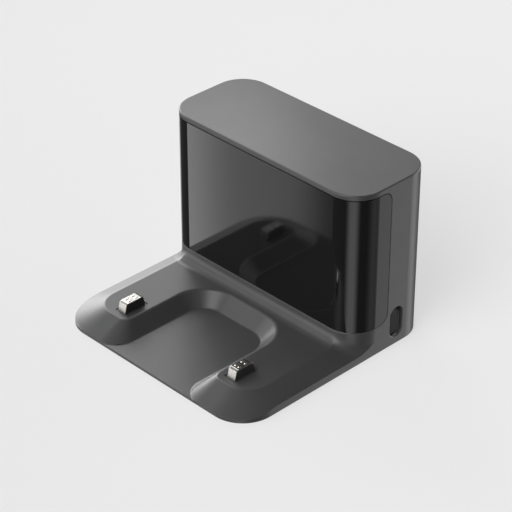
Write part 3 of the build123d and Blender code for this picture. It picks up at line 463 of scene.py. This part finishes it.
# Electrolytic capacitors: aluminium cans in shrunk PVC sleeves with a pale stripe on the minus side.
# The sleeve is glossy and dark, and the can's bare end shows as a dull bright disc.
def sleeved_can(name, sleeve, stripe, can, bare_before, stripe_before):
    """Shrunk sleeve with a stripe left of one place and bare metal in front of another."""
    wrinkle_mm = 2.0
    material, tree = start_material(name)
    place = add_node(tree, "ShaderNodeTexCoord")
    parts = add_node(tree, "ShaderNodeSeparateXYZ", {"Vector": (place, "Object")})
    striped = add_node(tree, "ShaderNodeMath", {0: (parts, "X"), 1: stripe_before}, operation="LESS_THAN")
    bare = add_node(tree, "ShaderNodeMath", {0: (parts, "Y"), 1: bare_before}, operation="LESS_THAN")
    wrinkle = add_node(tree, "ShaderNodeTexNoise", {"Vector": (place, "Object"), "Scale": 1000 / wrinkle_mm,
                                                    "Detail": 2.0})
    sleeved = add_node(tree, "ShaderNodeMix", {"Factor": (striped, 0), 6: to_linear(sleeve), 7: to_linear(stripe)},
                       data_type="RGBA")
    colour = add_node(tree, "ShaderNodeMix", {"Factor": (bare, 0), 6: (sleeved, 2), 7: to_linear(can)},
                      data_type="RGBA")
    relief = add_node(tree, "ShaderNodeBump", {"Height": (wrinkle, "Fac"), "Strength": 0.4, "Distance": 0.00003})
    gloss = add_node(tree, "ShaderNodeMapRange", {"Value": (bare, 0), "To Min": 0.22, "To Max": 0.38})
    surface = add_node(tree, "ShaderNodeBsdfPrincipled", {"Base Color": (colour, 2), "Metallic": (bare, 0),
                                                          "Roughness": (gloss, 0), "Normal": (relief, 0),
                                                          "IOR": 1.54})
    add_node(tree, "ShaderNodeOutputMaterial", {"Surface": (surface, 0)})
    return material


stripe_share = 0.14
bare_depth = 0.0002
for node in ("mains_capacitor", "output_capacitors"):
    low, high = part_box(node)
    can_pvc = sleeved_can("shrunk PVC on " + node.replace("_", " "), "#1c2438", "#a9aeb8", "#b9bbbd",
                          low.y + bare_depth, low.x + (high.x - low.x) * stripe_share)
    dress(can_pvc, node)


# Line filter choke: enamelled copper wire wound on a ferrite ring, in close turns that point to its centre.
# The enamel is glossy and red-brown, and the turns break its light into rays. The dark colour between the turns is
# painted shade.
def wound_ring(name, enamel, gap_shade, centre, turns):
    """Enamelled wire wound radially round a ring that lies flat against the board, with painted shade between its
    turns.
    """
    material, tree = start_material(name)
    place = add_node(tree, "ShaderNodeTexCoord")
    from_centre = add_node(tree, "ShaderNodeVectorMath", {0: (place, "Object"), 1: centre}, operation="SUBTRACT")
    parts = add_node(tree, "ShaderNodeSeparateXYZ", {"Vector": (from_centre, 0)})
    bearing = add_node(tree, "ShaderNodeMath", {0: (parts, "Z"), 1: (parts, "X")}, operation="ARCTAN2")
    counted = add_node(tree, "ShaderNodeMath", {0: (bearing, 0), 1: turns}, operation="MULTIPLY")
    crest = add_node(tree, "ShaderNodeMath", {0: (counted, 0)}, operation="COSINE")
    # the dark colour where the cosine is low, between the turns, is painted shade
    tone = add_node(tree, "ShaderNodeMapRange", {"Value": (crest, 0), "From Min": -1.0, "From Max": -0.4})
    colour = add_node(tree, "ShaderNodeMix", {"Factor": (tone, 0), 6: to_linear(gap_shade), 7: to_linear(enamel)},
                      data_type="RGBA")
    relief = add_node(tree, "ShaderNodeBump", {"Height": (crest, 0), "Strength": 0.8, "Distance": 0.00015})
    surface = add_node(tree, "ShaderNodeBsdfPrincipled", {"Base Color": (colour, 2), "Metallic": 0.6,
                                                          "Roughness": 0.22, "Normal": (relief, 0), "IOR": 1.56})
    add_node(tree, "ShaderNodeOutputMaterial", {"Surface": (surface, 0)})
    return material


low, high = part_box("line_choke")
enamelled_copper = wound_ring("enamelled copper winding", "#a04a20", "#2e1509", (low + high) / 2, 40)
dress(enamelled_copper, "line_choke")

# Fuse and bridge rectifier: parts moulded in black epoxy and soldered to the power board by their legs.
# The epoxy is half glossy, with a very fine grain.
potted_epoxy = moulded_plastic("black moulding epoxy", "#151516", 0.33, 0.3, 0.004, ior=1.55)
dress(potted_epoxy, "fuse", "bridge_rectifier")

# Heat sink: a comb cut from extruded aluminium, which stands on the power board beside the rectifier.
# The die leaves fine lines along its depth, which spread each highlight into a streak.
extruded_aluminium = bare_metal("extruded aluminium", "#b7babd", 0.34, 0.25, "Y")
dress(extruded_aluminium, "heat_sink")

# Connectors: natural nylon housings moulded round tinned pins, soldered to both boards.
# The nylon is left uncoloured, an off-white that is waxy rather than glossy.
natural_nylon = moulded_plastic("natural nylon", "#ddd7c4", 0.46, 0.5, 0.004, ior=1.53)
dress(natural_nylon, "board_connectors", "beacon_connector")

# Mains inlet: a moulded PBT socket in the figure-eight shape, soldered into the power board.
# The mould is polished, so its mouth is glossier than the bay round it.
inlet_pbt = moulded_plastic("glossy black PBT", "#171718", 0.2, 0.6, 0.002, ior=1.57)
dress(inlet_pbt, "mains_inlet")

# Inlet pins: two pins turned from brass, plated with nickel and pressed into the socket.
# The tool's fine marks read as a bright line along each pin.
turned_pin = bare_metal("nickel-plated turned brass", "#d3cdbf", 0.2, 0.08, "Y")
dress(turned_pin, "inlet_pins")

# Cord bay liner: black ABS with a spark texture like the cover's, held by the cover's two rear screws.
# It forms the bay's wall, roof and floor and the two hooks that spare cord is wound on. It is duller than
# the housing, and its colour is painted darker than the cover's as shade, so the bay looks deep.
# the liner's colour, darker than the cover's, is painted shade for the depth of the bay
liner_abs_with_painted_shade = moulded_plastic("spark-textured black ABS liner with painted shade", "#171718", 0.68, 0.7, 0.015, ior=1.45)
dress(liner_abs_with_painted_shade, "cord_bay_liner")

# Light shroud: black ABS moulded in three cells and screwed up under the roof, so that no beam strays
# from one cell to the next. It is dead matt and swallows stray light.
shroud_abs = moulded_plastic("dead matt black ABS", "#141414", 0.75, 0.6, 0.02)
dress(shroud_abs, "light_shroud")


# Infrared LEDs: lamps cast in epoxy on the beacon board, one in each cell of the shroud.
# The epoxy is tinted a deep violet, and clear enough that its dome gathers light like a lens.
def cast_epoxy(name, tint, cloud_mm):
    """Clear tinted epoxy with faint clouds from casting."""
    material, tree = start_material(name)
    place = add_node(tree, "ShaderNodeTexCoord")
    cloud = add_node(tree, "ShaderNodeTexNoise", {"Vector": (place, "Object"), "Scale": 1000 / cloud_mm})
    tone = add_node(tree, "ShaderNodeValToRGB", {"Fac": (cloud, "Fac")})
    base = to_linear(tint)
    tone.color_ramp.elements[0].color = [c * 0.8 for c in base[:3]] + [1.0]
    tone.color_ramp.elements[1].color = base
    surface = add_node(tree, "ShaderNodeBsdfPrincipled", {"Base Color": (tone, "Color"), "Roughness": 0.06,
                                                          "Transmission Weight": 0.7, "IOR": 1.54})
    add_node(tree, "ShaderNodeOutputMaterial", {"Surface": (surface, 0)})
    return material


tinted_epoxy = cast_epoxy("violet-tinted epoxy", "#5a3a66", 1.5)
dress(tinted_epoxy, "infrared_leds")

# Upper housing: charcoal ABS, one moulding for the wings, the channel and the tower, screwed to the cover.
# Its fine satin texture gives a broad soft sheen.
housing_abs = moulded_plastic("satin charcoal ABS", "#454546", 0.34, 0.6, 0.006)
dress(housing_abs, "upper_housing")

# Front window: smoked polycarbonate, bent round the tower's front and glued to its ledge.
# It is polished, so it mirrors the wings and the edges of the light cards. In place of grain it has the
# faint waves of a large moulding, 2 mm wide.
window_pc = moulded_plastic("polished smoked polycarbonate", "#101011", 0.07, 2.0, 0.0001, ior=1.585)
dress(window_pc, "front_window")

# Screws: pan-head steel screws with a cross slot, which hold the cover, the shroud and both boards.
# New zinc plating gives them a blue-grey shine.
zinc_plated = bare_metal("zinc-plated steel", "#a9adb2", 0.3, 0.2, "Z")
dress(zinc_plated, "cover_screws", "board_screws", "beacon_screws")
